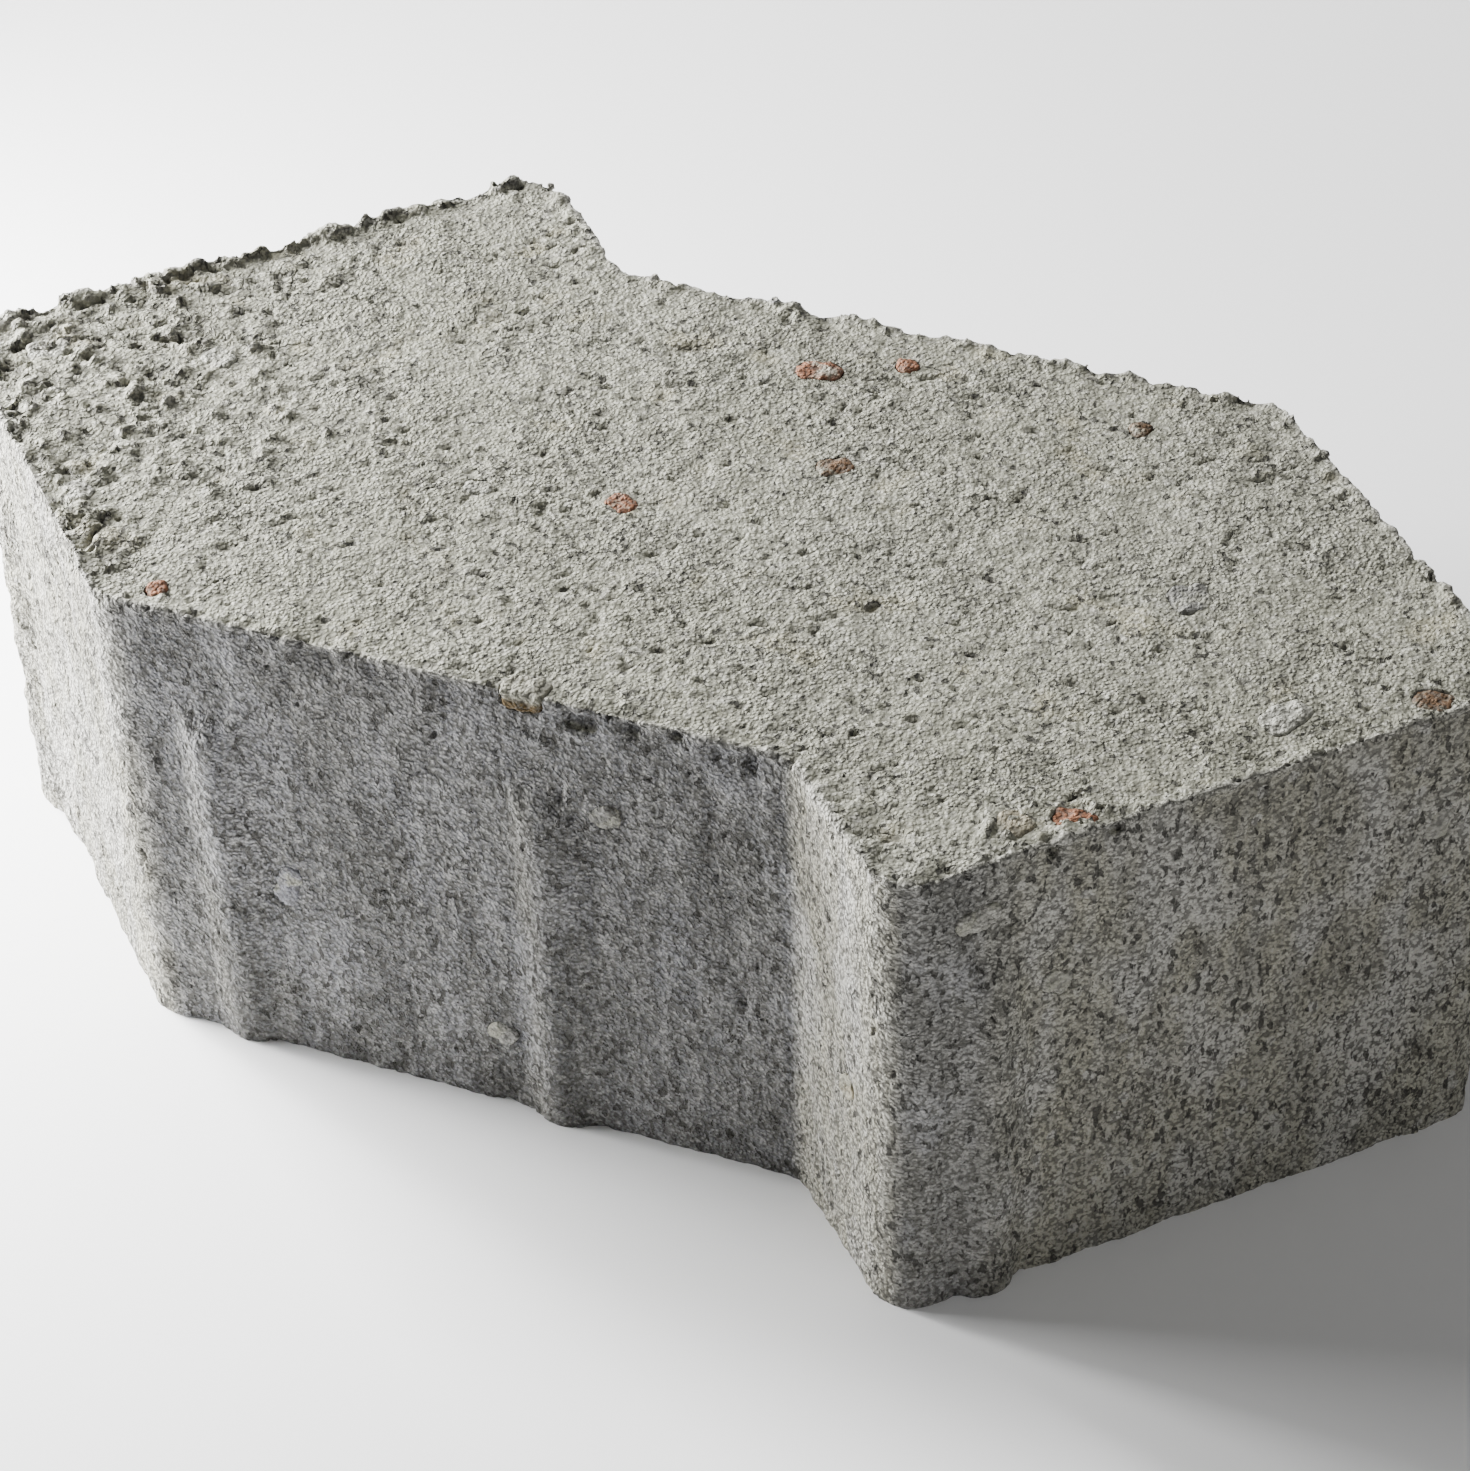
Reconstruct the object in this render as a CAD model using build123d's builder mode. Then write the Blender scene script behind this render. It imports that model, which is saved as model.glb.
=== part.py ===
from build123d import *
import math
import os

# Shaped interlocking concrete paving stone.
# Its plan is an octagon on 45-degree lines that looks the same after half a turn: two square-ended
# arms meet along a slanted waist, so that each stone locks into the notches of its neighbours.
# Spacer ribs are moulded on the side walls, and coarse stones of the mix lie bare in the surface.
# The origin is the middle of the bedding face, +X runs along the front wall, +Z is up.

# Overall sizes, millimetres
thickness = 80.0            # bedding face to wearing face
long_wall = 102.0           # front and back walls, square to Y
notch_wall = 29.0           # short wall at the side of each notch
end_wall = 94.5             # square end of each arm
arm_wall = 68.5             # outer side of each arm
corner_radius = 6.5         # upright corners, as the mould rounds them

# Spacer ribs
rib_foot_width = 11.5       # along the wall
rib_crest_width = 4.5
rib_proud = 1.8             # out of the wall
rib_root = 1.2              # how far the rib's foot lies inside the wall
rib_drop = 13.0             # wearing face down to the top of the rib
rib_taper = 9.0             # height over which the rib fades out at its top
end_rib_place = 15.2        # corner to the middle of the rib nearest to it
middle_rib_place = 65.5     # same corner to the second rib of a long wall

# Coarse stones
facet_share = 0.27          # cut-back of a stone's edges, as a share of its least size
sunk_share = 0.18           # how far a stone's middle lies under the surface, as a share of its depth
stone_tip = 11.0            # degrees that a stone leans in the mix

# Walls in walking order, anticlockwise seen from above: name, length, heading in degrees
wall_runs = [
    ("front_long", long_wall, 0),
    ("front_notch", notch_wall, -45),
    ("right_end", end_wall, 45),
    ("right_arm", arm_wall, 135),
    ("back_long", long_wall, 180),
    ("back_notch", notch_wall, 135),
    ("left_end", end_wall, 225),
    ("left_arm", arm_wall, -45),
]

# Ribs: wall, distance of the middle from the wall's start
rib_places = [
    ("front_long", end_rib_place),
    ("front_long", middle_rib_place),
    ("right_end", end_rib_place),
    ("left_arm", end_rib_place),
    ("back_long", end_rib_place),
    ("back_long", middle_rib_place),
    ("left_end", end_rib_place),
    ("right_arm", end_rib_place),
]

# Stones bare in the wearing face: name, nearest wall, distance along it, distance in from it,
# length, width, depth, turn in degrees. A distance below zero counts back from the wall's end.
top_stones = [
    ("brick_chip_back", "back_long", 65.0, 13.8, 6.4, 3.6, 3.4, 12),
    ("brick_chip_back_small", "back_long", 53.2, 8.5, 3.2, 2.4, 2.4, 40),
    ("brick_chip_middle", "front_long", 60.7, 42.6, 4.2, 3.2, 3.0, -25),
    ("brick_chip_left", "front_long", 7.6, 4.2, 3.0, 2.4, 2.4, 55),
    ("brick_chip_right_edge", "right_end", 27.9, 3.2, 5.4, 3.2, 3.0, 10),
    ("rust_stone_right_corner", "right_end", -13.5, 3.4, 5.0, 3.8, 3.2, 5),
    ("rust_stone_middle", "back_long", 55.0, 34.5, 5.0, 3.6, 3.2, 35),
    ("rust_chip_back", "back_long", 17.0, 12.0, 3.6, 2.6, 2.6, 70),
    ("grey_pebble", "right_end", 62.2, 35.7, 5.8, 5.4, 4.6, 30),
    ("pale_pebble_right", "right_end", 61.7, 8.8, 6.8, 4.6, 3.8, 62),
    ("pale_pebble_left_arm", "left_arm", 23.7, 33.2, 4.8, 4.0, 3.4, -15),
    ("pale_pebble_left_corner", "left_arm", 10.5, 11.0, 5.6, 4.6, 3.8, 20),
    ("pale_pebble_left_edge", "left_arm", 45.0, 5.2, 4.6, 3.6, 3.2, -40),
    ("pale_pebble_middle", "front_long", 40.2, 39.3, 3.8, 3.2, 3.0, 15),
    ("ochre_flint_front_edge", "front_long", 63.6, 1.6, 6.2, 4.6, 4.4, 8),
    ("buff_gravel_right_end", "right_end", 20.6, 5.6, 4.8, 3.8, 3.4, -35),
]

# Stones bare in the side walls: name, wall, distance along it, height above the bedding face,
# length, width, depth, turn in degrees. A height below zero counts down from the wearing face.
side_stones = [
    ("quartz_pebble_right_end_high", "right_end", 12.8, -9.2, 6.2, 3.2, 3.2, 12),
    ("quartz_pebble_right_end_low", "right_end", 24.6, -25.0, 4.4, 3.4, 3.2, -30),
    ("quartz_pebble_right_end_far", "right_end", -12.8, -19.8, 4.8, 3.2, 3.2, 68),
    ("lilac_pebble_front", "front_long", 24.4, 33.0, 7.2, 3.4, 3.2, 72),
    ("grey_pebble_front", "front_long", 74.8, -18.6, 4.0, 3.2, 3.0, 35),
    ("white_stone_front", "front_long", 56.6, 14.0, 4.2, 3.0, 3.0, -20),
    ("buff_pebble_notch", "front_notch", 16.0, 34.0, 4.4, 3.2, 3.0, 50),
    ("pale_pebble_left_wall", "left_arm", 40.0, 28.0, 5.2, 3.8, 3.4, 25),
    ("grey_pebble_right_arm", "right_arm", 38.0, -35.0, 6.0, 4.4, 3.8, -15),
    ("ochre_pebble_right_arm", "right_arm", -14.5, 22.0, 4.6, 3.4, 3.2, 60),
    ("quartz_pebble_back", "back_long", 40.0, -28.0, 5.6, 3.6, 3.4, 18),
    ("brick_chip_back_wall", "back_long", -18.0, 30.0, 4.4, 3.0, 3.0, -42),
    ("buff_pebble_back_notch", "back_notch", 15.0, -32.0, 4.0, 3.2, 3.0, 10),
    ("grey_pebble_left_end", "left_end", 46.0, -22.0, 6.4, 4.6, 4.0, 33),
    ("quartz_pebble_left_end", "left_end", -20.5, 26.0, 5.0, 3.4, 3.2, -28),
]


def walk_outline():
    """Corner points of the plan, centred on its own middle, one at the start of each wall."""
    x, y = 0.0, 0.0
    points = []
    for name, length, heading in wall_runs:
        points.append((x, y))
        x += length * math.cos(math.radians(heading))
        y += length * math.sin(math.radians(heading))
    middle_x = sum(point[0] for point in points) / len(points)
    middle_y = sum(point[1] for point in points) / len(points)
    return [(px - middle_x, py - middle_y) for px, py in points]


corners = walk_outline()
wall_start = {run[0]: corner for run, corner in zip(wall_runs, corners)}
wall_length = {run[0]: run[1] for run in wall_runs}
wall_heading = {run[0]: math.radians(run[2]) for run in wall_runs}


def plan_point(wall, along, inward):
    """Point of the plan at a distance along a wall and a distance in from it."""
    x, y = wall_start[wall]
    heading = wall_heading[wall]
    if along < 0:
        along += wall_length[wall]
    return (
        x + along * math.cos(heading) - inward * math.sin(heading),
        y + along * math.sin(heading) + inward * math.cos(heading),
    )


def wall_plane(wall, along, height):
    """Plane lying in a side wall: its x runs along the wall and its z points out of the stone."""
    x, y = plan_point(wall, along, 0)
    heading = wall_heading[wall]
    if height < 0:
        height += thickness
    return Plane(
        origin=(x, y, height),
        x_dir=(math.cos(heading), math.sin(heading), 0),
        z_dir=(math.sin(heading), -math.cos(heading), 0),
    )


def top_plane(wall, along, inward):
    """Plane lying in the wearing face, over a point of the plan."""
    x, y = plan_point(wall, along, inward)
    return Plane(origin=(x, y, thickness))


def spacer_rib(wall, along):
    """Upright rib with soft flanks that fades into the wall at its top."""
    foot_height = thickness - rib_drop
    crest_height = foot_height - rib_taper
    ground = wall_plane(wall, along, 0)
    with BuildPart() as rib:
        with BuildSketch(ground.offset(-rib_root)):
            Rectangle(rib_foot_width, foot_height, align=(Align.CENTER, Align.MIN))
        with BuildSketch(ground.offset(rib_proud)):
            Rectangle(rib_crest_width, crest_height, align=(Align.CENTER, Align.MIN))
        loft(ruled=True)
    return rib.part


def coarse_stone(length, width, depth, turn, surface):
    """Whole stone as it lies under a surface: a block with all its edges cut back, leaning a little."""
    with BuildPart() as stone:
        Box(length, width, depth)
        chamfer(stone.edges(), facet_share * min(length, width, depth))
    lie = Pos(0, 0, -sunk_share * depth) * Rot(0, 0, turn) * Rot(stone_tip, 0, 0)
    return stone.part.moved(surface.location * lie)


with BuildPart() as block:
    with BuildSketch() as plan:
        with BuildLine():
            Polyline(*corners, close=True)
        make_face()
        fillet(plan.vertices(), corner_radius)
    extrude(amount=thickness)

whole_stones = {}
for name, wall, along, inward, length, width, depth, turn in top_stones:
    surface = top_plane(wall, along, inward)
    whole_stones[name] = coarse_stone(length, width, depth, turn, surface)
for name, wall, along, height, length, width, depth, turn in side_stones:
    surface = wall_plane(wall, along, height)
    whole_stones[name] = coarse_stone(length, width, depth, turn, surface)

# The cast concrete: block and ribs, with a matching socket for each bare stone
with BuildPart() as concrete_body:
    add(block.part)
    for wall, along in rib_places:
        add(spacer_rib(wall, along))
    for whole in whole_stones.values():
        add(whole, mode=Mode.SUBTRACT)
concrete_body.part.label = "concrete_body"

os.makedirs("parts", exist_ok=True)
export_step(concrete_body.part, "parts/concrete_body.step")

# Each bare stone is cut flush with the faces of the block
for name, whole in whole_stones.items():
    with BuildPart() as stone:
        add(block.part)
        add(whole, mode=Mode.INTERSECT)
    stone.part.label = name
    export_step(stone.part, f"parts/{name}.step")
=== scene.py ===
import math
import random

import bpy
import numpy as np
from mathutils import Euler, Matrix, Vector


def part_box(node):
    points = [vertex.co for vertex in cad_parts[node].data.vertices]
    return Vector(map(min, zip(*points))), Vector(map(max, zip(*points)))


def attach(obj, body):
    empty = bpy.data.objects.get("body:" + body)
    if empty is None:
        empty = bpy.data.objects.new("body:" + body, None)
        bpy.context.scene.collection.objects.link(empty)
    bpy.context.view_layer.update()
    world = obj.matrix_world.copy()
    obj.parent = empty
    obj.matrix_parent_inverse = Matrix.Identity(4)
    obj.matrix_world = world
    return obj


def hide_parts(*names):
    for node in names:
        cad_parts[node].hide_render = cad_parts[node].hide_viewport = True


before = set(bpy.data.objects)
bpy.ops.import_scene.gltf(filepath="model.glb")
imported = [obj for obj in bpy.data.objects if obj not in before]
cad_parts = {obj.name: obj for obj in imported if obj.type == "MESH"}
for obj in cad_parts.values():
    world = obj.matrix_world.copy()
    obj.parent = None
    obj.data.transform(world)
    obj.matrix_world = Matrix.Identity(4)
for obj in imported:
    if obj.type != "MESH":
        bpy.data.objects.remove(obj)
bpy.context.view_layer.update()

# Interlocking concrete paving stone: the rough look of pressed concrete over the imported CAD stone.
# Lengths are in metres, and the frame is the CAD frame: +X along the front wall, +Z up.

THICKNESS = Vector(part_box("concrete_body")[1]).z

# Walls of the stone, anticlockwise from its front left corner: length and heading in degrees
WALLS = {
    "front_long": (0.102, 0),
    "front_notch": (0.029, -45),
    "right_end": (0.0945, 45),
    "right_arm": (0.0685, 135),
    "back_long": (0.102, 180),
    "back_notch": (0.029, 135),
    "left_end": (0.0945, 225),
    "left_arm": (0.0685, -45),
}
CORNER_RADIUS = 0.0065
RIB_PLACES = {
    "front_long": (0.0152, 0.0655),
    "right_end": (0.0152,),
    "right_arm": (0.0152,),
    "back_long": (0.0152, 0.0655),
    "left_end": (0.0152,),
    "left_arm": (0.0152,),
}
RIB_DROP, RIB_FADE = 0.013, 0.009           # wearing face down to a rib's top, and how far it fades there
PLAIN_RIB = (0.00435, 0.0021, 0.0018)       # the moulded rib: half its foot, width of a flank, height
SOFT_RIB = (0.0066, 0.0019)                 # the worn rib: half its foot, height
GRAIN = 0.0005    # size of the small quads that the rough skin is made of
STONE_GRAIN = 0.00028                       # the same for a bare stone
SLAB_CUTS = (0.025, 0.050, 0.0755)          # heights where the fine skin is divided into pieces
FOOT = 0.0004                               # the walls are trimmed level here, then set down on the ground


# ---------------------------------------------------------------- plan of the stone

def walk_walls():
    """Start point and direction of each wall, in the plan, centred on the plan's middle."""
    point = Vector((0.0, 0.0))
    starts = []
    for length, heading in WALLS.values():
        starts.append(point.copy())
        point += length * Vector((math.cos(math.radians(heading)), math.sin(math.radians(heading))))
    middle = sum(starts, Vector((0.0, 0.0))) / len(starts)
    return [start - middle for start in starts]


WALL_STARTS = dict(zip(WALLS, walk_walls()))


def along_wall(wall, along, inward=0.0, height=THICKNESS):
    """Point at a distance along a wall and in from it."""
    length, heading = WALLS[wall]
    turn = math.radians(heading)
    start = WALL_STARTS[wall]
    return Vector((
        start.x + along * math.cos(turn) - inward * math.sin(turn),
        start.y + along * math.sin(turn) + inward * math.cos(turn),
        height,
    ))


def wall_measures(points, wall):
    """How far along a wall, and how far out of it, each point lies."""
    turn = math.radians(WALLS[wall][1])
    start = WALL_STARTS[wall]
    x = points[:, 0] - start.x
    y = points[:, 1] - start.y
    return x * math.cos(turn) + y * math.sin(turn), x * math.sin(turn) - y * math.cos(turn)


def rim_distance(points):
    """Distance of each point of the plan from the stone's rounded outline, above zero inside."""
    walls = []
    for wall in WALLS:
        turn = math.radians(WALLS[wall][1])
        run = np.array((math.cos(turn), math.sin(turn)))
        walls.append((along_wall(wall, 0, CORNER_RADIUS), run))
    inner = []
    for count, (start, run) in enumerate(walls):
        other_start, other_run = walls[count - 1]
        gap = np.array((other_start.x - start.x, other_start.y - start.y))
        cross = run[0] * other_run[1] - run[1] * other_run[0]
        share = (gap[0] * other_run[1] - gap[1] * other_run[0]) / cross
        inner.append(np.array((start.x, start.y)) + share * run)
    nearest = np.full(len(points), 1.0)
    crossings = np.zeros(len(points), dtype=int)
    for count, first in enumerate(inner):
        last = inner[(count + 1) % len(inner)]
        run = last - first
        share = np.clip(((points - first) @ run) / (run @ run), 0, 1)
        nearest = np.minimum(nearest, np.linalg.norm(points - first - share[:, None] * run, axis=1))
        spans = (first[1] > points[:, 1]) != (last[1] > points[:, 1])
        rise = run[1] if abs(run[1]) > 1e-9 else 1e-9
        reach = first[0] + (points[:, 1] - first[1]) * run[0] / rise
        crossings += spans & (points[:, 0] < reach)
    inside = crossings % 2 == 1
    return np.where(inside, nearest, -nearest) + CORNER_RADIUS


def round_ribs(points):
    """Moves points of the plain moulded ribs so that crest and foot run softly into the wall."""
    for wall, places in RIB_PLACES.items():
        turn = math.radians(WALLS[wall][1])
        along, outward = wall_measures(points, wall)
        near_wall = np.clip((outward + 0.0030) / 0.0020, 0, 1)
        fade = np.clip((THICKNESS - RIB_DROP - points[:, 2]) / RIB_FADE, 0, 1)
        for place in places:
            aside = np.abs(along - place)
            plain = np.clip((PLAIN_RIB[0] - aside) / PLAIN_RIB[1], 0, 1) * PLAIN_RIB[2]
            soft = SOFT_RIB[1] * np.cos(np.clip(aside / SOFT_RIB[0], 0, 1) * math.pi / 2) ** 2
            change = (soft - plain) * fade * near_wall
            points[:, 0] += change * math.sin(turn)
            points[:, 1] -= change * math.cos(turn)
    return points


def long_wall_share(points):
    """Painted shade: 1 on the front and back long walls, less beside the end walls' first corner, 0
    elsewhere.
    """
    share = np.zeros(len(points))
    for wall in ("front_long", "back_long"):
        length = WALLS[wall][0]
        along, outward = wall_measures(points, wall)
        on_plane = np.clip((0.0045 - np.abs(outward)) / 0.0015, 0, 1)
        on_length = np.clip((along - 0.0005) / 0.004, 0, 1) * np.clip((length + 0.001 - along) / 0.002, 0, 1)
        # each rib's left flank gets less of the painted shade: a painted highlight there
        flank = sum(np.clip(1 - np.abs(along - place + 0.0030) / 0.0028, 0, 1) for place in RIB_PLACES[wall])
        flank *= np.clip((THICKNESS - 0.014 - points[:, 2]) / 0.006, 0, 1)
        share = np.maximum(share, on_plane * on_length * (1 - 0.3 * flank))
    for wall in ("right_end", "left_end"):
        along, outward = wall_measures(points, wall)
        on_plane = np.clip((outward + 0.0026) / 0.0014, 0, 1) * (outward < 0.0035)
        on_corner = np.clip((0.020 - along) / 0.008, 0, 1) * (along > -0.001)
        share = np.maximum(share, 0.75 * on_plane * on_corner)
    return share


# ---------------------------------------------------------------- mesh helpers

def select_only(piece):
    bpy.ops.object.select_all(action="DESELECT")
    piece.select_set(True)
    bpy.context.view_layer.objects.active = piece


def apply_modifiers(piece):
    select_only(piece)
    for modifier in list(piece.modifiers):
        bpy.ops.object.modifier_apply(modifier=modifier.name)


def copy_of_node(node, name):
    """A merged copy of a CAD node's mesh, free of the frame."""
    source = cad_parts[node]
    piece = bpy.data.objects.new(name, source.data.copy())
    piece.data.name = name
    piece.data.materials.clear()
    bpy.context.collection.objects.link(piece)
    select_only(piece)
    bpy.ops.object.mode_set(mode="EDIT")
    bpy.ops.mesh.select_all(action="SELECT")
    bpy.ops.mesh.remove_doubles(threshold=1e-6)
    bpy.ops.object.mode_set(mode="OBJECT")
    return piece


def vertex_points(mesh):
    points = np.empty(len(mesh.vertices) * 3, dtype=np.float32)
    mesh.vertices.foreach_get("co", points)
    return points.reshape(-1, 3).astype(float)


def store_values(mesh, name, values):
    layer = mesh.attributes.new(name, "FLOAT", "POINT")
    layer.data.foreach_set("value", np.asarray(values, dtype=np.float32))


# ---------------------------------------------------------------- crumbs and voids

def model_rock(name, seed, flatness):
    """One small broken rock of unit size, with blunt corners."""
    chance = random.Random(seed)
    bpy.ops.object.select_all(action="DESELECT")
    bpy.ops.mesh.primitive_ico_sphere_add(subdivisions=2, radius=0.5)
    rock = bpy.context.object
    rock.name = name
    bpy.ops.object.mode_set(mode="EDIT")
    for slice_number in range(7):
        side = Vector((chance.gauss(0, 1), chance.gauss(0, 1), chance.gauss(0, 1))).normalized()
        bpy.ops.mesh.select_all(action="SELECT")
        bpy.ops.mesh.bisect(
            plane_co=side * chance.uniform(0.30, 0.42), plane_no=side, use_fill=True, clear_outer=True
        )
    bpy.ops.mesh.select_all(action="SELECT")
    bpy.ops.mesh.quads_convert_to_tris()
    bpy.ops.transform.resize(value=(1, chance.uniform(0.7, 0.9), flatness))
    bpy.ops.object.mode_set(mode="OBJECT")
    return rock


def scatter(name, rocks, places):
    """One mesh of many rocks: each place is a point, three sizes, the turn of those sizes and a seed."""
    masters = []
    for rock in rocks:
        mesh = rock.data
        masters.append((vertex_points(mesh), [list(face.vertices) for face in mesh.polygons]))
    points, faces, count = [], [], 0
    for place, sizes, heading, seed in places:
        chance = random.Random(seed)
        rock_points, rock_faces = masters[seed % len(masters)]
        tumble = np.array(Euler([chance.uniform(0, 6.28) for axis in range(3)]).to_matrix())
        lie = np.array(Euler((0, 0, math.radians(heading))).to_matrix())
        points.append(((rock_points @ tumble.T) * np.array(sizes)) @ lie.T + np.array(place))
        faces.extend([[corner + count for corner in face] for face in rock_faces])
        count += len(rock_points)
    mesh = bpy.data.meshes.new(name)
    mesh.from_pydata(np.concatenate(points).tolist(), [], faces)
    piece = bpy.data.objects.new(name, mesh)
    bpy.context.collection.objects.link(piece)
    return piece


# ---------------------------------------------------------------- surface noise, as modifier nodes

class Nodes:
    """Short calls for building a node tree."""

    def __init__(self, tree):
        self.tree = tree

    def new(self, kind, *inputs, **settings):
        node = self.tree.nodes.new(kind)
        for key, value in settings.items():
            setattr(node, key, value)
        for number, value in enumerate(inputs):
            self.put(node.inputs[number], value)
        return node

    def put(self, socket, value):
        if isinstance(value, bpy.types.NodeSocket):
            self.tree.links.new(value, socket)
        else:
            socket.default_value = value

    def math(self, operation, *inputs, clamp=False):
        return self.new("ShaderNodeMath", *inputs, operation=operation, use_clamp=clamp).outputs[0]

    def scaled(self, vector, scale):
        return self.new("ShaderNodeVectorMath", vector, scale, operation="MULTIPLY").outputs[0]

    def noise(self, vector, size, detail=2.0, roughness=0.5, distortion=0.0, output=0):
        """Noise from 0 to 1, whose lumps are about size across."""
        node = self.tree.nodes.new("ShaderNodeTexNoise")
        self.put(node.inputs["Vector"], vector)
        node.inputs["Scale"].default_value = 1.0 / size
        node.inputs["Detail"].default_value = detail
        node.inputs["Roughness"].default_value = roughness
        node.inputs["Distortion"].default_value = distortion
        return node.outputs[output]

    def cells(self, vector, size, feature="F1", output="Distance"):
        node = self.new("ShaderNodeTexVoronoi", feature=feature)
        self.put(node.inputs["Vector"], vector)
        node.inputs["Scale"].default_value = 1.0 / size
        return node.outputs[output]

    def ramp(self, value, low, high, out_low=0.0, out_high=1.0):
        """Smooth step of a value from low to high."""
        node = self.tree.nodes.new("ShaderNodeMapRange")
        node.interpolation_type = "SMOOTHSTEP"
        for name, amount in zip(("Value", "From Min", "From Max", "To Min", "To Max"),
                                (value, low, high, out_low, out_high)):
            self.put(node.inputs[name], amount)
        return node.outputs[0]


def roughen(piece):
    """Turns smooth faces into tamped, dragged and crumbling concrete."""
    tree = bpy.data.node_groups.new("rough concrete skin", "GeometryNodeTree")
    tree.interface.new_socket("Geometry", in_out="INPUT", socket_type="NodeSocketGeometry")
    tree.interface.new_socket("Geometry", in_out="OUTPUT", socket_type="NodeSocketGeometry")
    n = Nodes(tree)
    flow = tree.nodes.new("NodeGroupInput").outputs[0]
    end = tree.nodes.new("NodeGroupOutput")

    place = n.new("GeometryNodeInputPosition").outputs[0]
    normal = n.new("GeometryNodeInputNormal").outputs[0]
    facing = n.new("ShaderNodeSeparateXYZ", normal)
    where = n.new("ShaderNodeSeparateXYZ", place)
    rim = n.new("GeometryNodeInputNamedAttribute", "rim", data_type="FLOAT").outputs[0]
    upper = n.ramp(facing.outputs[2], 0.55, 0.9)
    under = n.ramp(facing.outputs[2], -0.55, -0.9)
    side = n.math("SUBTRACT", n.math("SUBTRACT", 1.0, upper), under)

    # directions in which the ram and the mould drag the mix
    turned = n.new("ShaderNodeVectorRotate", rotation_type="Z_AXIS")
    n.put(turned.inputs["Vector"], place)
    turned.inputs["Angle"].default_value = math.radians(-20)
    dragged = n.scaled(turned.outputs[0], (0.62, 1.0, 1.0))
    upright = n.scaled(place, (1.0, 1.0, 0.13))

    # lumps of every size
    swell = n.math("SUBTRACT", n.noise(place, 0.030, 1), 0.5)
    lump = n.math("SUBTRACT", n.noise(place, 0.0058, 2), 0.5)
    grit = n.math("SUBTRACT", n.noise(place, 0.0016, 2, 0.62), 0.5)

    # crumbling ground towards the left arm, and in a few spots
    left_ground = n.ramp(where.outputs[0], -0.050, -0.092)
    spots = n.math("MULTIPLY", n.ramp(n.noise(place, 0.020, 2), 0.52, 0.72), 0.5)
    broken = n.ramp(n.noise(place, 0.010, 2), 0.36, 0.56)
    loose = n.math("MULTIPLY", n.math("MAXIMUM", left_ground, spots), broken)

    # small pits in the wearing face, drawn out by the ram
    calm_ground = n.math("MULTIPLY", n.ramp(n.noise(place, 0.013, 2), 0.36, 0.60), 0.085)
    pit_edge = n.math("SUBTRACT", 0.66, n.math("ADD", calm_ground, n.math("MULTIPLY", loose, 0.04)))
    pit_noise = n.noise(dragged, 0.0016, 2.5, 0.6, 0.3)
    top_pit = n.math("MULTIPLY", n.ramp(n.math("SUBTRACT", pit_noise, pit_edge), 0.0, 0.08), upper)

    # crevices between the gravel of loose ground, each lump of it a low dome
    wander = n.noise(place, 0.0028, 2, 0.6, output=1)
    shaken = n.new("ShaderNodeVectorMath", wander, (0.0022, 0.0022, 0.0022), operation="MULTIPLY").outputs[0]
    shaken = n.new("ShaderNodeVectorMath", shaken, dragged, operation="ADD").outputs[0]
    between = n.cells(shaken, 0.0040, "DISTANCE_TO_EDGE")
    dome = n.math("SUBTRACT", 0.55, n.cells(shaken, 0.0040, "F1"))
    open_here = n.ramp(n.noise(place, 0.0060, 2), 0.44, 0.62)
    crevice = n.math("MULTIPLY", n.ramp(between, 0.10, 0.0), n.math("MULTIPLY", open_here, upper))
    deep_pit = n.math("MULTIPLY", crevice, n.ramp(loose, 0.15, 0.65))
    dome = n.math("MULTIPLY", n.math("MULTIPLY", dome, loose), upper)

    # voids of the walls, smooth cement skin, and upright drag lines
    wall_place = n.scaled(place, (1.0, 1.0, 0.6))
    wall_noise = n.noise(wall_place, 0.0019, 3.5, 0.7, 1.2)
    patch = n.ramp(n.noise(n.scaled(place, (1.0, 1.0, 0.5)), 0.011, 3), 0.48, 0.62)
    wall_edge = n.math("ADD", 0.61, n.math("MULTIPLY", patch, 0.10))
    wall_pit = n.math("MULTIPLY", n.ramp(n.math("SUBTRACT", wall_noise, wall_edge), 0.0, 0.10), side)
    drag_line = n.math("SUBTRACT", n.noise(upright, 0.0022, 3, 0.6), 0.5)

    # the upper rim breaks away in crumbs
    near_rim = n.math("MULTIPLY", n.ramp(rim, 0.0024, 0.0), n.ramp(n.noise(place, 0.012, 2), 0.42, 0.62))
    rim_bite = n.math("MULTIPLY", near_rim, n.ramp(n.noise(place, 0.0038, 4, 0.7), 0.46, 0.70))
    slump = n.math("MULTIPLY", n.ramp(rim, 0.0060, 0.0), n.ramp(n.noise(place, 0.015, 2), 0.50, 0.70))

    # total height of the skin above the smooth stone
    rough_share = n.math("ADD", 1.0, n.math("MULTIPLY", loose, 1.3))
    rough_share = n.math("ADD", rough_share, n.math("MULTIPLY", side, 0.5))
    calm = n.math("SUBTRACT", 1.0, n.math("MULTIPLY", n.math("MULTIPLY", patch, side), 0.65))
    parts = (
        (swell, 0.0008, None),
        (lump, 0.00095, rough_share),
        (grit, 0.00060, calm),
        (drag_line, 0.00065, side),
        (top_pit, -0.00070, None),
        (deep_pit, -0.0008, None),
        (dome, 0.0008, None),
        (wall_pit, -0.0008, None),
        (rim_bite, -0.0014, None),
        (slump, -0.0013, None),
        (n.ramp(rim, 0.0014, 0.0004), 0.00022, None),
    )
    height = None
    for value, amount, share in parts:
        part = n.math("MULTIPLY", value, amount)
        if share is not None:
            part = n.math("MULTIPLY", part, share)
        height = part if height is None else n.math("ADD", height, part)
    height = n.math("MULTIPLY", height, n.math("SUBTRACT", 1.0, under))
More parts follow.
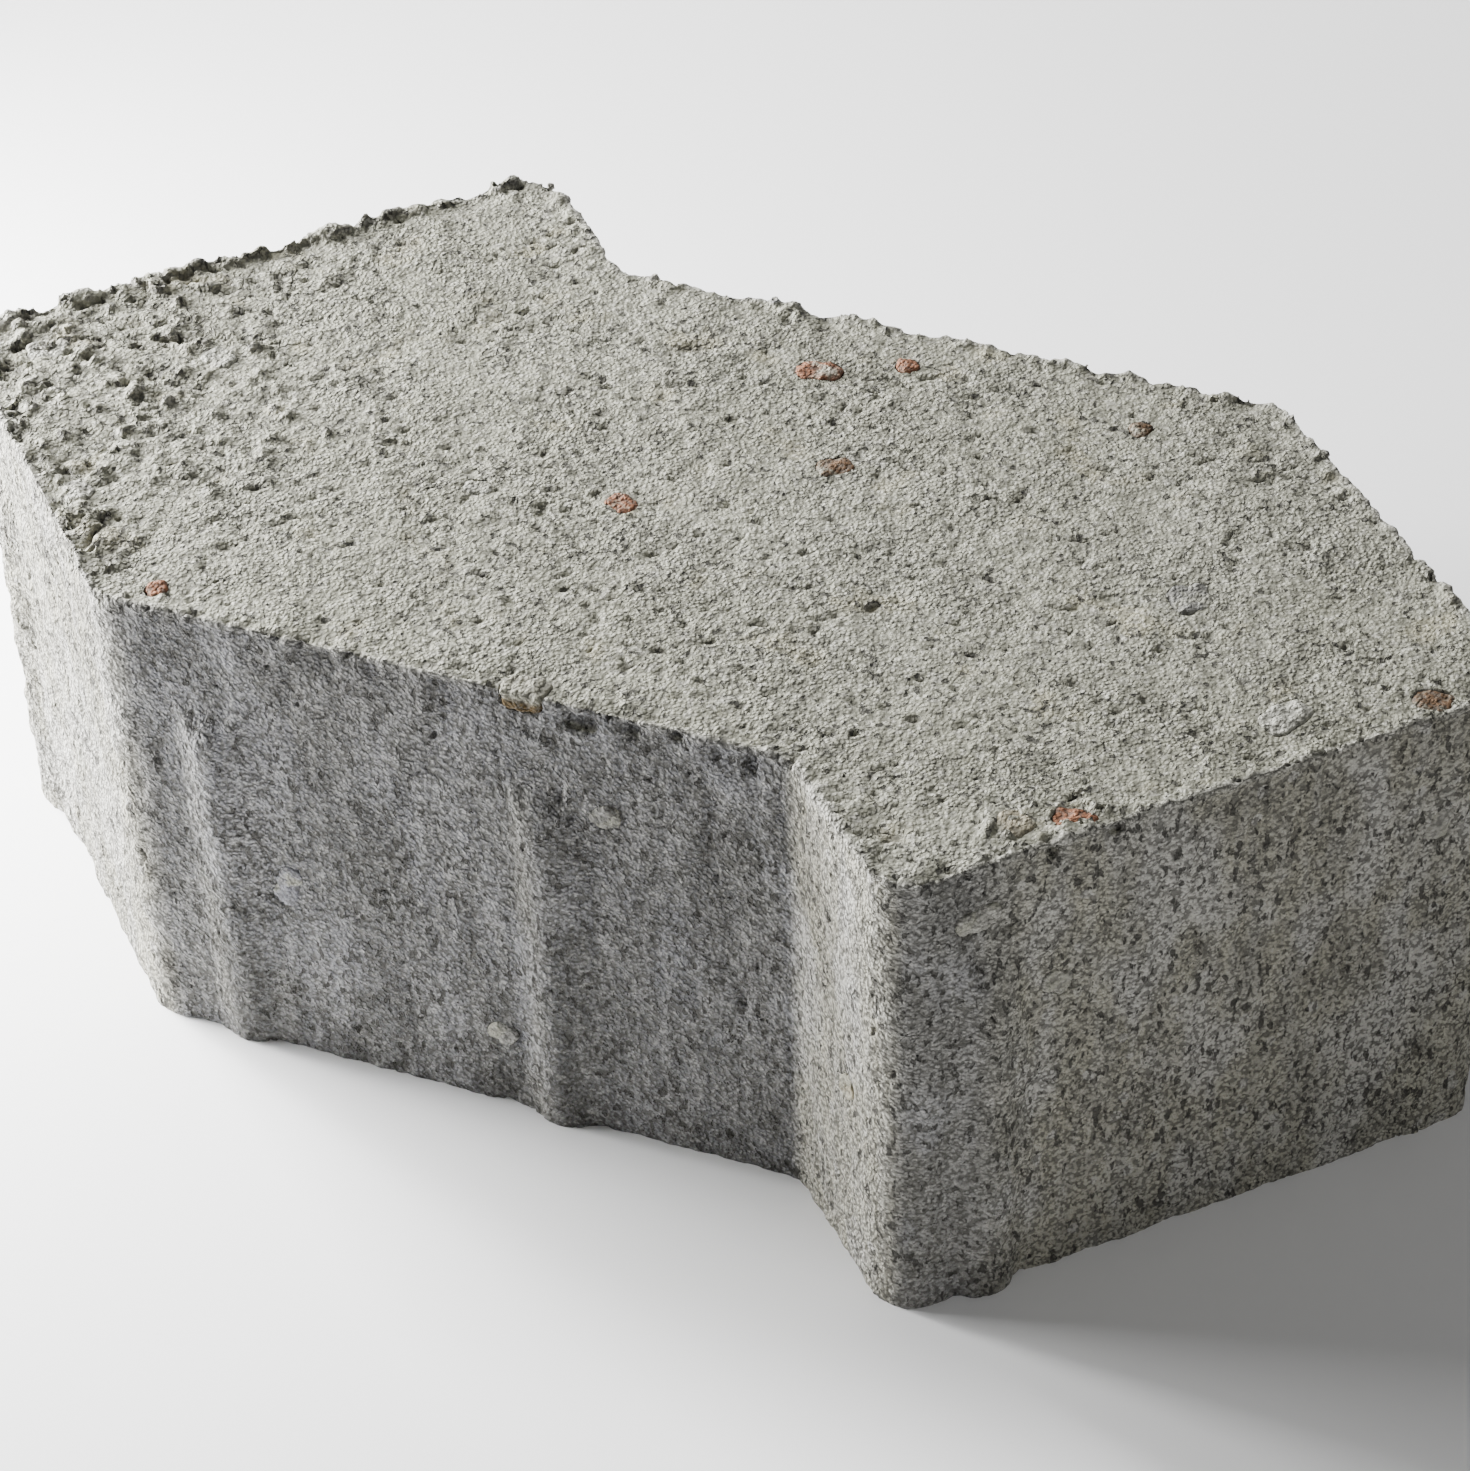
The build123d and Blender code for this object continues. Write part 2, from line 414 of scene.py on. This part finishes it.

    # masks for the material are worked out on the smooth stone, then the skin is moved
    # the hollow mask marks painted shade for the material: pits, crevices, wall voids and the bitten rim
    edge_shade = n.math("MULTIPLY", rim_bite, 0.2)
    hollow = n.math("MAXIMUM", n.math("MAXIMUM", top_pit, deep_pit), n.math("MAXIMUM", wall_pit, edge_shade))
    masks = {
        "hollow": hollow,
        "laitance": n.math("MULTIPLY", patch, side),
        "upper": upper,
        "loose": loose,
        "lines": n.math("MULTIPLY", drag_line, side),
        # lighter along the upper rim: paler cement paste, and a painted highlight of the arris
        "lip": n.math("MULTIPLY", n.ramp(rim, 0.0013, 0.0002), n.math("SUBTRACT", 1.0, rim_bite)),
    }
    for name, value in masks.items():
        store = n.new("GeometryNodeStoreNamedAttribute", data_type="FLOAT", domain="POINT")
        n.put(store.inputs["Geometry"], flow)
        store.inputs["Name"].default_value = name
        n.put(store.inputs["Value"], value)
        flow = store.outputs[0]
    move = n.new("ShaderNodeVectorMath", normal, operation="SCALE")
    n.put(move.inputs["Scale"], height)
    moved = n.new("GeometryNodeSetPosition", flow)
    n.put(moved.inputs["Offset"], move.outputs[0])
    n.put(end.inputs[0], moved.outputs[0])

    skin = piece.modifiers.new("rough skin", "NODES")
    skin.node_group = tree
    apply_modifiers(piece)


# ---------------------------------------------------------------- the body

def on_wall(wall, along, drop, width, height, depth, seed):
    """Place of a rock sunk a little into a side wall, measured down from the wearing face."""
    middle = along_wall(wall, along, 0.0002, THICKNESS - drop)
    return middle, (width, depth, height), WALLS[wall][1], seed


# Hollows of the wearing face where a grain fell out: x, y and width, millimetres
HOLLOWS = (
    (15.5, 13, 3.5), (-16, -30, 3), (31, -14.5, 3.5), (10, -22.5, 2), (4, 0, 2.5), (8, -0.5, 2),
    (3, -7.5, 2.5), (-19.5, -10.5, 3), (-33.5, 0, 2), (-21, 2.5, 2), (-5, -13.5, 2), (-2, 18.5, 3),
    (65.5, -16, 2), (70, -10.5, 2.5), (39.5, -33.5, 2.5), (37.5, -40, 2.5), (51, -47, 2),
    (56.5, -6, 3), (60.5, -2.5, 2.5), (102, -10, 2), (-72, -13.5, 2), (-60.5, -7.5, 3),
    (-46.5, -3, 3), (-47, 2.5, 2.5), (-85, -22.5, 3.5), (-67.5, -19.5, 2.5), (-87.5, 9.5, 5),
    (-82.5, 2.5, 3), (-107.5, 6.5, 3), (-70, 8.5, 2.5),
)


def hollow_places():
    """Ragged hollows of the wearing face, each with a smaller one beside it."""
    chance = random.Random(5)
    places = []
    for x, y, width in HOLLOWS:
        middle = Vector((x / 1000, y / 1000, THICKNESS - 0.0001))
        size = width / 1000
        turn = chance.uniform(-10, 60)
        places.append((middle, (size * 1.25, size * 0.8, size * 0.6), turn, chance.randrange(10000)))
        side = chance.uniform(0, 2 * math.pi)
        beside = middle + size * Vector((math.cos(side), math.sin(side), 0))
        places.append((beside, (size * 0.9, size * 0.45, size * 0.4), turn, chance.randrange(10000)))
    return places


SMALL_CRUMB, MIDDLING_CRUMB, LARGE_CRUMB = (0.0009, 0.0019), (0.0011, 0.0025), (0.0016, 0.0040)
# Crumbs beside each wall's rim: wall, how many, span along it, span in from it, height and size
CRUMBS = (
    ("left_end", 230, (0.004, 0.091), (0.0002, 0.0016), (-0.0004, 0.0007), MIDDLING_CRUMB),
    ("back_long", 90, (0.002, 0.100), (0.0003, 0.0020), (-0.0005, 0.0004), SMALL_CRUMB),
    ("right_arm", 70, (0.002, 0.066), (0.0003, 0.0024), (-0.0005, 0.0004), SMALL_CRUMB),
    ("back_notch", 40, (0.002, 0.027), (0.0003, 0.0020), (-0.0005, 0.0003), SMALL_CRUMB),
    ("front_long", 50, (0.004, 0.100), (0.0006, 0.0030), (-0.0007, 0.0000), SMALL_CRUMB),
    ("left_arm", 80, (0.004, 0.064), (0.0005, 0.0040), (-0.0005, 0.0003), MIDDLING_CRUMB),
    ("left_arm", 190, (0.002, 0.056), (0.0040, 0.0420), (-0.0012, -0.0001), LARGE_CRUMB),
    ("right_end", 60, (0.014, 0.034), (0.0006, 0.0075), (-0.0007, 0.0002), MIDDLING_CRUMB),
    ("right_end", 40, (0.034, 0.090), (0.0004, 0.0020), (-0.0005, 0.0002), SMALL_CRUMB),
    ("front_notch", 30, (0.002, 0.026), (0.0006, 0.0050), (-0.0006, 0.0001), SMALL_CRUMB),
)


def crumb_places(chance, wall, count, span, inward, rise, size):
    """Random places of small crumbs along one wall's upper rim."""
    places = []
    for number in range(count):
        along, depth = chance.uniform(*span), chance.uniform(*inward)
        point = along_wall(wall, along, depth, THICKNESS + chance.uniform(*rise))
        sizes = [chance.uniform(*size) * chance.uniform(0.8, 1.25) for axis in range(3)]
        places.append((point, sizes, chance.uniform(0, 180), chance.randrange(10000)))
    return places


def void_places():
    """Voids that show dark along the upper rim and in the walls, and hollows of the wearing face."""
    return [
        on_wall("front_long", 0.0722, 0.0024, 0.0096, 0.0040, 0.0034, 1),
        on_wall("front_long", 0.0798, 0.0018, 0.0044, 0.0034, 0.0024, 3),
        on_wall("front_long", 0.0862, 0.0010, 0.0036, 0.0022, 0.0030, 4),
        on_wall("front_long", 0.0912, 0.0022, 0.0030, 0.0036, 0.0022, 5),
        on_wall("front_long", 0.0962, 0.0026, 0.0026, 0.0058, 0.0024, 2),
        on_wall("front_long", 0.0380, 0.0006, 0.0030, 0.0016, 0.0026, 6),
        on_wall("front_long", 0.0310, 0.0005, 0.0024, 0.0014, 0.0020, 21),
        on_wall("right_end", 0.0235, 0.0018, 0.0036, 0.0030, 0.0030, 7),
        on_wall("right_end", 0.0325, 0.0014, 0.0030, 0.0024, 0.0030, 8),
        on_wall("front_long", 0.0690, 0.0200, 0.0050, 0.0062, 0.0014, 9),
        on_wall("front_long", 0.0940, 0.0470, 0.0030, 0.0060, 0.0024, 10),
        on_wall("front_long", 0.0290, 0.0500, 0.0034, 0.0026, 0.0022, 11),
        on_wall("right_end", 0.0170, 0.0128, 0.0040, 0.0020, 0.0020, 12),
        on_wall("right_end", 0.0270, 0.0270, 0.0030, 0.0026, 0.0020, 13),
        on_wall("right_end", 0.0685, 0.0410, 0.0046, 0.0026, 0.0022, 14),
        on_wall("right_end", 0.0820, 0.0630, 0.0040, 0.0028, 0.0022, 15),
    ]


def model_body():
    """The cast concrete: CAD stone, voids cut in, crumbs stuck on, then a fine rough skin."""
    body = copy_of_node("concrete_body", "concrete_block")
    rocks = [model_rock(f"rock_{number}", number + 3, 0.8) for number in range(4)]
    chance = random.Random(11)

    cutters = scatter("void_cutters", rocks, void_places() + hollow_places())
    cut = body.modifiers.new("voids", "BOOLEAN")
    cut.operation = "DIFFERENCE"
    cut.solver = "EXACT"
    cut.object = cutters
    apply_modifiers(body)

    crumbs = []
    for wall, count, span, inward, rise, size in CRUMBS:
        crumbs += crumb_places(chance, wall, count, span, inward, rise, size)
    stuck = scatter("stuck_crumbs", rocks, crumbs)

    bpy.ops.object.select_all(action="DESELECT")
    stuck.select_set(True)
    body.select_set(True)
    bpy.context.view_layer.objects.active = body
    bpy.ops.object.join()

    remesh = body.modifiers.new("fine skin", "REMESH")
    remesh.mode = "VOXEL"
    remesh.voxel_size = GRAIN
    apply_modifiers(body)

    points = round_ribs(vertex_points(body.data))
    body.data.vertices.foreach_set("co", points.astype(np.float32).ravel())
    inward = rim_distance(points[:, :2])
    drop = THICKNESS - points[:, 2]
    store_values(body.data, "rim", np.hypot(np.maximum(inward, 0), np.maximum(drop, 0)))
    # where the walls get painted shade
    store_values(body.data, "long_wall_painted_shade", long_wall_share(points))
    roughen(body)

    for leftover in [cutters] + rocks:
        bpy.data.objects.remove(leftover)
    return body


def cut_flat(height, keep_above):
    """Cuts the mesh being edited level at a height and fills the cut there, round any hollow."""
    bpy.ops.mesh.select_all(action="SELECT")
    bpy.ops.mesh.bisect(
        plane_co=(0, 0, height), plane_no=(0, 0, 1), clear_inner=keep_above, clear_outer=not keep_above
    )
    bpy.ops.mesh.fill(use_beauty=False)


def keep_between(piece, low, high):
    """Cuts a piece down to the slab between two heights."""
    select_only(piece)
    bpy.ops.object.mode_set(mode="EDIT")
    bpy.ops.mesh.select_mode(type="EDGE")
    if low is not None:
        cut_flat(low, True)
    if high is not None:
        cut_flat(high, False)
    bpy.ops.mesh.select_all(action="SELECT")
    bpy.ops.mesh.normals_make_consistent(inside=False)
    bpy.ops.object.mode_set(mode="OBJECT")


def divide_body(body):
    """The body's skin as slabs that meet on flat inner faces; the underside is one flat face."""
    levels = (FOOT,) + SLAB_CUTS + (None,)
    names = ("lower_concrete", "middle_concrete", "upper_concrete", "wearing_concrete")
    slabs = []
    for number, name in enumerate(names):
        slab = bpy.data.objects.new(name, body.data.copy())
        slab.data.name = name
        bpy.context.collection.objects.link(slab)
        keep_between(slab, levels[number], levels[number + 1])
        slabs.append(slab)
    for vertex in slabs[0].data.vertices:
        if vertex.co.z < FOOT * 1.01:
            vertex.co.z = 0.0
    bpy.data.objects.remove(body)
    return slabs


def model_bare_stone(node, seed):
    """One stone of the mix: the CAD stone's own shape, worn round and rough."""
    stone = copy_of_node(node, node + "_worn")
    remesh = stone.modifiers.new("skin", "REMESH")
    remesh.mode = "VOXEL"
    remesh.voxel_size = STONE_GRAIN
    smooth = stone.modifiers.new("worn", "SMOOTH")
    smooth.iterations = 3
    apply_modifiers(stone)
    tree = bpy.data.node_groups.new("stone skin", "GeometryNodeTree")
    tree.interface.new_socket("Geometry", in_out="INPUT", socket_type="NodeSocketGeometry")
    tree.interface.new_socket("Geometry", in_out="OUTPUT", socket_type="NodeSocketGeometry")
    n = Nodes(tree)
    place = n.new("ShaderNodeVectorMath", n.new("GeometryNodeInputPosition").outputs[0],
                  (0.013 * seed, 0, 0), operation="ADD").outputs[0]
    lump = n.math("MULTIPLY", n.math("SUBTRACT", n.noise(place, 0.0024, 2), 0.5), 0.0018)
    fine = n.math("MULTIPLY", n.math("SUBTRACT", n.noise(place, 0.0007, 2), 0.5), 0.0003)
    height = n.math("ADD", n.math("ADD", lump, fine), 0.00022)
    move = n.new("ShaderNodeVectorMath", n.new("GeometryNodeInputNormal").outputs[0], operation="SCALE")
    n.put(move.inputs["Scale"], height)
    moved = n.new("GeometryNodeSetPosition", tree.nodes.new("NodeGroupInput").outputs[0])
    n.put(moved.inputs["Offset"], move.outputs[0])
    n.put(tree.nodes.new("NodeGroupOutput").inputs[0], moved.outputs[0])
    skin = stone.modifiers.new("stone skin", "NODES")
    skin.node_group = tree
    apply_modifiers(stone)
    return stone


# ---------------------------------------------------------------- materials

def mixed(n, share, first, second):
    """Colour between two colours."""
    node = n.tree.nodes.new("ShaderNodeMix")
    node.data_type = "RGBA"
    n.put(node.inputs["Factor"], share)
    n.put(node.inputs[6], first)
    n.put(node.inputs[7], second)
    return node.outputs[2]


def mask(n, name):
    """A mask stored on the mesh."""
    node = n.tree.nodes.new("ShaderNodeAttribute")
    node.attribute_name = name
    return node.outputs["Fac"]


def new_shader(name, roughness):
    material = bpy.data.materials.new(name)
    material.use_nodes = True
    shader = material.node_tree.nodes["Principled BSDF"]
    shader.inputs["Roughness"].default_value = roughness
    shader.inputs["Specular IOR Level"].default_value = 0.25
    return material, shader, Nodes(material.node_tree)


def sandy_relief(n, place, shader, depth, pits=None, calm=None):
    """Bump of sand grains and the gaps between them, lower where it is calm; gives the height back."""
    broken = n.noise(place, 0.0010, 2.0, 0.58)
    sand = n.ramp(n.cells(place, 0.00062), 0.72, 0.12)
    height = n.math("ADD", n.math("MULTIPLY", broken, 0.74), n.math("MULTIPLY", sand, 0.26))
    relief = height if calm is None else n.math("MULTIPLY", height, calm)
    relief = relief if pits is None else n.math("SUBTRACT", relief, n.math("MULTIPLY", pits, 0.45))
    bump = n.tree.nodes.new("ShaderNodeBump")
    bump.inputs["Strength"].default_value = 1.0
    bump.inputs["Distance"].default_value = depth
    n.put(bump.inputs["Height"], relief)
    n.put(shader.inputs["Normal"], bump.outputs[0])
    return height


def small_pits(n, place):
    """Pin holes between the sand grains, thicker in some spots, and crevices in loose ground."""
    crowd = n.math("MULTIPLY", n.ramp(n.noise(place, 0.008, 3, 0.6), 0.35, 0.68), 0.085)
    edge = n.math("SUBTRACT", 0.645, crowd)
    drawn = n.scaled(place, (1.0, 1.0, 0.55))
    hole = n.ramp(n.math("SUBTRACT", n.noise(drawn, 0.00105, 2.0, 0.5, 0.2), edge), 0.0, 0.045)
    wander = n.new("ShaderNodeVectorMath", n.noise(place, 0.0030, 2, 0.6, output=1),
                   (0.0024, 0.0024, 0.0024), operation="MULTIPLY").outputs[0]
    shaken = n.new("ShaderNodeVectorMath", wander, place, operation="ADD").outputs[0]
    gap = n.ramp(n.cells(shaken, 0.0032, "DISTANCE_TO_EDGE"), 0.075, 0.01)
    open_gap = n.ramp(n.noise(place, 0.0045, 2), 0.46, 0.60)
    open_gap = n.math("MULTIPLY", open_gap, n.ramp(mask(n, "loose"), 0.05, 0.6))
    gap = n.math("MULTIPLY", n.math("MULTIPLY", gap, open_gap), 0.6)
    return n.math("MAXIMUM", hole, gap)


def concrete_material():
    material, shader, n = new_shader("pressed concrete", 0.92)
    place = n.tree.nodes.new("ShaderNodeTexCoord").outputs["Object"]
    upper = mask(n, "upper")

    broad = n.ramp(n.noise(place, 0.035, 3, 0.55), 0.3, 0.7)
    middle = n.ramp(n.noise(place, 0.009, 3, 0.6), 0.3, 0.7)
    face = mixed(n, broad, (0.302, 0.299, 0.235, 1), (0.368, 0.365, 0.295, 1))
    face = mixed(n, n.math("MULTIPLY", middle, 0.4), face, (0.262, 0.26, 0.2, 1))
    wall = mixed(n, broad, (0.35, 0.336, 0.268, 1), (0.445, 0.43, 0.352, 1))
    # painted shade: the long walls and the end walls' first corner get a dark, cool colour and a darker
    # cement skin
    wall_painted_shade_colour = mixed(n, broad, (0.104, 0.104, 0.103, 1), (0.156, 0.157, 0.164, 1))
    wall = mixed(n, mask(n, "long_wall_painted_shade"), wall, wall_painted_shade_colour)
    skin = mixed(n, mask(n, "long_wall_painted_shade"), (0.50, 0.49, 0.455, 1), (0.225, 0.227, 0.24, 1))
    blotch = n.ramp(n.noise(n.scaled(place, (1.0, 1.0, 0.7)), 0.0045, 3, 0.6), 0.35, 0.65)
    wall = mixed(n, n.math("MULTIPLY", n.math("SUBTRACT", 1.0, blotch), 0.35), wall, (0.13, 0.128, 0.12, 1))
    wall = mixed(n, n.math("MULTIPLY", mask(n, "laitance"), 0.75), wall, skin)
    streak = n.ramp(mask(n, "lines"), -0.12, 0.16)
    wall = mixed(n, n.math("MULTIPLY", streak, 0.3), wall, (0.42, 0.415, 0.40, 1))
    colour = mixed(n, upper, wall, face)

    # yellowish sand patches of the wearing face
    yellow = n.math("MULTIPLY", n.ramp(n.noise(place, 0.010, 2), 0.58, 0.70), upper)
    colour = mixed(n, n.math("MULTIPLY", yellow, 0.4), colour, (0.40, 0.365, 0.235, 1))

    # single sand grains: dark and pale ones
    cells = n.tree.nodes.new("ShaderNodeTexVoronoi")
    n.put(cells.inputs["Vector"], place)
    cells.inputs["Scale"].default_value = 1.0 / 0.00065
    tone = n.new("ShaderNodeSeparateColor", cells.outputs["Color"]).outputs[0]
    colour = mixed(n, n.math("MULTIPLY", n.ramp(tone, 0.74, 0.95), 0.4), colour, (0.13, 0.125, 0.11, 1))
    pale_share = n.math("ADD", 0.18, n.math("MULTIPLY", upper, 0.17))
    pale = n.math("MULTIPLY", n.ramp(tone, 0.25, 0.04), pale_share)
    colour = mixed(n, pale, colour, (0.68, 0.665, 0.60, 1))

    # fine pale grit pressed against the mould
    grit = n.tree.nodes.new("ShaderNodeTexVoronoi")
    n.put(grit.inputs["Vector"], place)
    grit.inputs["Scale"].default_value = 1.0 / 0.0042
    chosen = n.ramp(n.new("ShaderNodeSeparateColor", grit.outputs["Color"]).outputs[1], 0.50, 0.60)
    spot = n.math("ADD", grit.outputs["Distance"], n.math("MULTIPLY", n.noise(place, 0.0015, 2), 0.30))
    spot = n.math("MULTIPLY", n.ramp(spot, 0.40, 0.32), chosen)
    spot = n.math("MULTIPLY", spot, n.math("SUBTRACT", 0.6, n.math("MULTIPLY", upper, 0.4)))
    spot = n.math("MULTIPLY", spot, n.math("SUBTRACT", 1.0, n.math("MULTIPLY", mask(n, "long_wall_painted_shade"), 0.75)))
    colour = mixed(n, spot, colour, (0.50, 0.49, 0.46, 1))
    # lighter along the upper rim: paler cement paste, and a painted highlight of the arris
    colour = mixed(n, n.math("MULTIPLY", mask(n, "lip"), 0.5), colour, (0.52, 0.51, 0.465, 1))

    # hollows between the grains, and the deeper pits, lie in painted shade; the grain tops get a painted
    # highlight
    pits = small_pits(n, place)
    calm_spots = n.math("MULTIPLY", n.ramp(n.noise(place, 0.012, 2), 0.62, 0.40), 0.25)
    calm = n.math("SUBTRACT", 1.0, n.math("MULTIPLY", upper, n.math("ADD", calm_spots, 0.26)))
    grain = sandy_relief(n, place, shader, 0.0012, pits, calm)
    shade = n.math("MULTIPLY", n.ramp(grain, 0.49, 0.35), n.math("MULTIPLY", calm, 0.72))
    colour = mixed(n, shade, colour, (0.06, 0.058, 0.05, 1))
    lit_share = n.math("ADD", 0.14, n.math("MULTIPLY", upper, 0.12))
    lit = n.math("MULTIPLY", n.ramp(grain, 0.58, 0.72), lit_share)
    colour = mixed(n, lit, colour, (0.66, 0.65, 0.59, 1))

    # fine broken fissures where the mix tore
    crack = n.math("ABSOLUTE", n.math("SUBTRACT", n.noise(place, 0.009, 4, 0.6), 0.5))
    torn = n.ramp(n.noise(place, 0.011, 2), 0.52, 0.62)
    crack = n.math("MULTIPLY", n.ramp(crack, 0.016, 0.002), torn)
    colour = mixed(n, n.math("MULTIPLY", crack, 0.65), colour, (0.06, 0.058, 0.05, 1))
    # painted shade in the pin holes and crevices, and in the hollows, pits and bitten rim
    colour = mixed(n, n.math("MULTIPLY", pits, 0.85), colour, (0.05, 0.048, 0.042, 1))
    colour = mixed(n, n.math("MULTIPLY", mask(n, "hollow"), 0.5), colour, (0.115, 0.11, 0.098, 1))
    n.put(shader.inputs["Base Color"], colour)
    return material


def stone_material(name, colour, cover, topped):
    """A stone of the mix, partly covered by a film of cement, and all over its top where it is topped."""
    material, shader, n = new_shader(name, 0.8)
    place = n.tree.nodes.new("ShaderNodeTexCoord").outputs["Object"]
    dark = tuple(channel * 0.62 for channel in colour[:3]) + (1,)
    tone = n.ramp(n.noise(place, 0.0016, 3, 0.6), 0.3, 0.7)
    body = mixed(n, tone, dark, colour)
    film = n.ramp(n.noise(place, 0.0040, 4, 0.65), 0.64 - cover * 0.3, 0.80 - cover * 0.3)
    if topped:
        height = n.new("ShaderNodeSeparateXYZ", place).outputs[2]
        film = n.math("MAXIMUM", film, n.ramp(height, THICKNESS - 0.0016, THICKNESS - 0.0006))
    body = mixed(n, n.math("MULTIPLY", film, 0.85), body, (0.34, 0.336, 0.275, 1))
    grain = sandy_relief(n, place, shader, 0.0009)
    # painted shade in the hollows between the grains
    body = mixed(n, n.math("MULTIPLY", n.ramp(grain, 0.46, 0.32), 0.6), body, (0.09, 0.086, 0.076, 1))
    n.put(shader.inputs["Base Color"], body)
    return material


def plain_material(name, colour, roughness):
    material = bpy.data.materials.new(name)
    material.use_nodes = True
    shader = material.node_tree.nodes["Principled BSDF"]
    shader.inputs["Base Color"].default_value = colour
    shader.inputs["Roughness"].default_value = roughness
    return material


# ---------------------------------------------------------------- stage

def set_stage():
    bpy.ops.object.select_all(action="DESELECT")
    bpy.ops.mesh.primitive_plane_add(size=6, location=(0, 0, 0))
    floor = bpy.context.object
    floor.name = "floor"
    floor.data.materials.append(plain_material("pale floor", (0.94, 0.94, 0.94, 1), 0.9))

    world = bpy.data.worlds.new("studio")
    world.use_nodes = True
    world.node_tree.nodes["Background"].inputs[0].default_value = (1, 1, 1, 1)
    world.node_tree.nodes["Background"].inputs[1].default_value = 0.11
    bpy.context.scene.world = world


def soft_light(name, place, aim, size, power):
    data = bpy.data.lights.new(name, "AREA")
    data.shape = "RECTANGLE"
    data.size, data.size_y = size
    data.energy = power
    lamp = bpy.data.objects.new(name, data)
    lamp.location = place
    lamp.rotation_euler = (Vector(aim) - Vector(place)).to_track_quat("-Z", "Y").to_euler()
    bpy.context.collection.objects.link(lamp)


def set_lights_and_camera():
    soft_light("left window", (-0.30, 0.00, 0.11), (-0.08, -0.02, 0.04), (0.12, 0.12), 5.2)
    soft_light("side window", (-0.40, -0.115, 0.13), (-0.08, -0.03, 0.04), (0.12, 0.12), 2.1)
    soft_light("back window", (-0.95, 0.42, 1.00), (0, 0, 0.06), (0.36, 0.30), 39.5)
    soft_light("right fill", (0.95, -0.30, 0.50), (0, 0, 0.04), (0.6, 0.6), 2.25)

    data = bpy.data.cameras.new("camera")
    data.lens = 103.2
    data.sensor_width = 36
    camera = bpy.data.objects.new("camera", data)
    camera.location = (0.1819, -0.4285, 0.4432)
    camera.rotation_euler = (math.radians(48.77), math.radians(1.5435), math.radians(21.18))
    bpy.context.collection.objects.link(camera)
    bpy.context.scene.camera = camera


# Stones of the mix by the first word of their name: slot, colour, how much cement covers them,
# and whether cement covers all that lies level with the wearing face
STONE_KINDS = {
    "brick": ("brick_red", (0.33, 0.15, 0.085, 1), 0.35, False),
    "rust": ("rust_brown", (0.17, 0.10, 0.055, 1), 0.4, False),
    "ochre": ("ochre_flint", (0.15, 0.10, 0.04, 1), 0.2, True),
    "buff": ("buff_gravel", (0.40, 0.36, 0.26, 1), 0.6, False),
    "grey": ("grey_gravel", (0.25, 0.247, 0.23, 1), 0.6, False),
    "lilac": ("lilac_quartzite", (0.31, 0.312, 0.34, 1), 0.5, False),
    "white": ("pale_quartz", (0.42, 0.415, 0.385, 1), 0.7, False),
    "pale": ("pale_quartz", (0.50, 0.495, 0.43, 1), 0.45, False),
    "quartz": ("pale_quartz", (0.44, 0.43, 0.385, 1), 0.55, False),
}


def finish_piece(piece, node, material):
    piece.data.materials.append(material)
    select_only(piece)
    bpy.ops.object.shade_smooth_by_angle(angle=math.radians(60))
    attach(piece, "root")
    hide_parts(node)


set_stage()
set_lights_and_camera()
concrete = concrete_material()
for slab in divide_body(model_body()):
    finish_piece(slab, "concrete_body", concrete)

stone_looks = {kind: stone_material(kind + " stone", *look[1:]) for kind, look in STONE_KINDS.items()}
for seed, node in enumerate(sorted(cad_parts)):
    kind = node.split("_")[0]
    if kind in STONE_KINDS:
        finish_piece(model_bare_stone(node, seed), node, stone_looks[kind])
